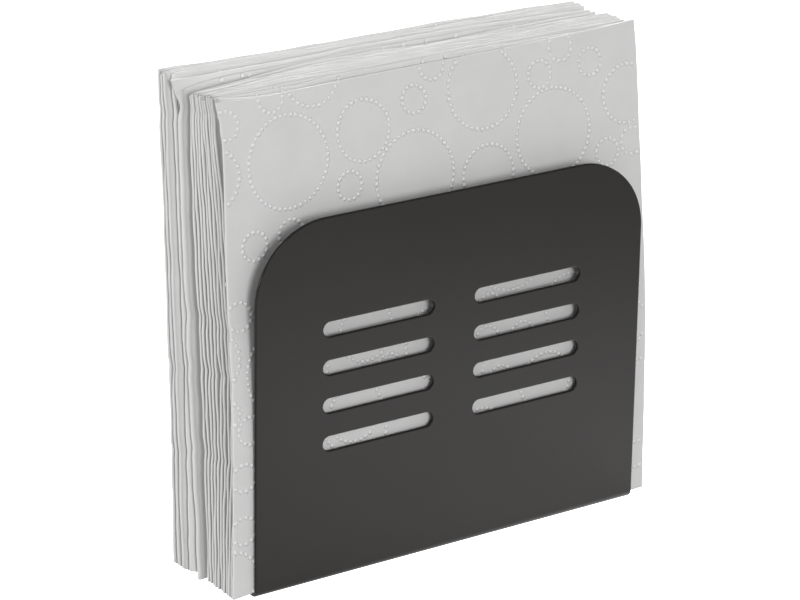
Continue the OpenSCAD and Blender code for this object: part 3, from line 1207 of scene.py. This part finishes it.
def set_inputs(modifier, values):
    for item in modifier.node_group.interface.items_tree:
        if item.item_type == "SOCKET" and item.in_out == "INPUT" and item.name in values:
            modifier[item.identifier] = values[item.name]


def build_dots(napkin):
    offset = (0, 0) if napkin.index == 0 else rng.uniform(-RING_OFFSET, RING_OFFSET, 2)
    points, normals, heights, edges = ring_guides(napkin, offset)
    piece = object_from("embossing_" + napkin.node, points, edges, [])
    store(piece.data, "outward", "FLOAT_VECTOR", "vector", normals)
    store(piece.data, "dot height", "FLOAT", "value", np.asarray(heights) * MM)
    sides, rows = FINE_DOT if any(FREE_SIDES.get(napkin.index, (False,))) else PLAIN_DOT
    strung = piece.modifiers.new("dots", "NODES")
    strung.node_group = dots_along_rings
    set_inputs(strung, {"Spacing": DOT_SPACING * MM, "Dot Radius": DOT_RADIUS * MM,
                        "Sides": sides, "Rows": rows, "Unevenness": UNEVENNESS,
                        "Seed": napkin.index, "Paper": painted_highlight_paper})
    bake(piece)
    return piece


for napkin in napkins:
    napkin.dots = build_dots(napkin)
counts = [len(napkin.dots.data.polygons) for napkin in napkins]
print("faces of the dots:", min(counts), "to", max(counts), "in all", sum(counts))

# %% [markdown]
# Each napkin rides on its own body, because it can be drawn out of the stack by itself, and its
# dots ride with it.

# %% Join the napkins to their bodies
for napkin in napkins:
    for piece in (napkin.piece, napkin.dots):
        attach(piece, napkin.node)
    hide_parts(napkin.node)
print("napkins joined:", len(napkins))

# %% [markdown]
# The photograph was taken in a white studio: light comes softly from everywhere, and the floor is
# so bright that it has no edge. The floor here is plain and pale, and gives off some light of its
# own, as an overlit studio floor does, with a brighter spot near the holder that the satin plate
# mirrors faintly. The floor's light on dull surfaces is left out, because it would fill the shade
# between the napkins.

# %% The floor
FLOOR_REACH = 4000
FLOOR_GLOW = 0.4
# The bright spot in front of the plate's right end: its place, its strength and its reach in metres
GLOW_SPOT = (0.08, -0.06, 0.0)
SPOT_GLOW = 2.3
SPOT_REACH = 0.32


def build_floor(steps=8):
    cuts = np.linspace(-FLOOR_REACH, FLOOR_REACH, steps + 1)
    points = [(x, y, 0.0) for x in cuts for y in cuts]
    row = steps + 1
    faces = [(i * row + j, (i + 1) * row + j, (i + 1) * row + j + 1, i * row + j + 1)
             for i in range(steps) for j in range(steps)]
    return object_from("floor", points, [], faces)


def floor_finish():
    finish, tree, place = new_finish("pale studio floor")
    cloud = noise(tree, place, 2, 2)
    away = add_node(tree, "ShaderNodeVectorMath", {0: place, 1: GLOW_SPOT}, operation="DISTANCE")
    glow = add_node(tree, "ShaderNodeMapRange", {
        "Value": away.outputs["Value"], "From Min": 0.0, "From Max": SPOT_REACH,
        "To Min": FLOOR_GLOW + SPOT_GLOW, "To Max": FLOOR_GLOW}, interpolation_type="SMOOTHSTEP")
    shader = add_node(tree, "ShaderNodeBsdfPrincipled", {
        "Base Color": blend_colours(tree, cloud, (0.9, 0.9, 0.9), (0.91, 0.91, 0.91)),
        "Roughness": 0.9,
        "Specular IOR Level": 0.1,
        "Emission Color": (1, 1, 1, 1),
        "Emission Strength": glow.outputs["Result"]})
    finish_with(tree, shader)
    return finish


floor = build_floor()
floor.data.materials.append(floor_finish())
floor.visible_diffuse = False
print("floor of", 2 * FLOOR_REACH * MM, "m")

# %% [markdown]
# Five round softboxes light the object. One at the front left gives the front napkin and the plate
# their even tone, and one behind on the left lights the folded noses from the side. One on the
# right keeps that side from going black. The two overhead light the top edges, mostly from behind,
# as in the photograph. A weak white sky fills the rest.

# %% The lights
SKY_STRENGTH = 0.4
AIM = Vector((0, 0, 0.09))
# Each softbox: place and width in metres, power in watts
SOFTBOXES = {
    "front left": ((-0.25, -1.48, 0.5), 0.6, 9.0),
    "behind left": ((-1.15, 0.5, 0.35), 0.4, 7.0),
    "right": ((1.25, 0.2, 0.4), 0.5, 7.0),
    "overhead": ((-0.401, -0.232, 1.517), 0.7, 1.5),
    "overhead behind": ((0.0, 0.86, 1.319), 0.5, 18.0)}


def softbox(name, place, width, power):
    data = bpy.data.lights.new(name + " softbox", "AREA")
    data.shape = "DISK"
    data.size = width
    data.energy = power
    light = bpy.data.objects.new(name + " softbox", data)
    light.location = place
    light.rotation_euler = (AIM - Vector(place)).to_track_quat("-Z", "Y").to_euler()
    bpy.context.scene.collection.objects.link(light)


for box_name, (place, width, power) in SOFTBOXES.items():
    softbox(box_name, place, width, power)
world = bpy.data.worlds.new("white studio")
world.use_nodes = True
bpy.context.scene.world = world
sky = world.node_tree.nodes["Background"]
sky.inputs["Color"].default_value = (1, 1, 1, 1)
sky.inputs["Strength"].default_value = SKY_STRENGTH
bpy.context.scene.view_settings.view_transform = "Standard"
print(len(SOFTBOXES), "softboxes and a white sky")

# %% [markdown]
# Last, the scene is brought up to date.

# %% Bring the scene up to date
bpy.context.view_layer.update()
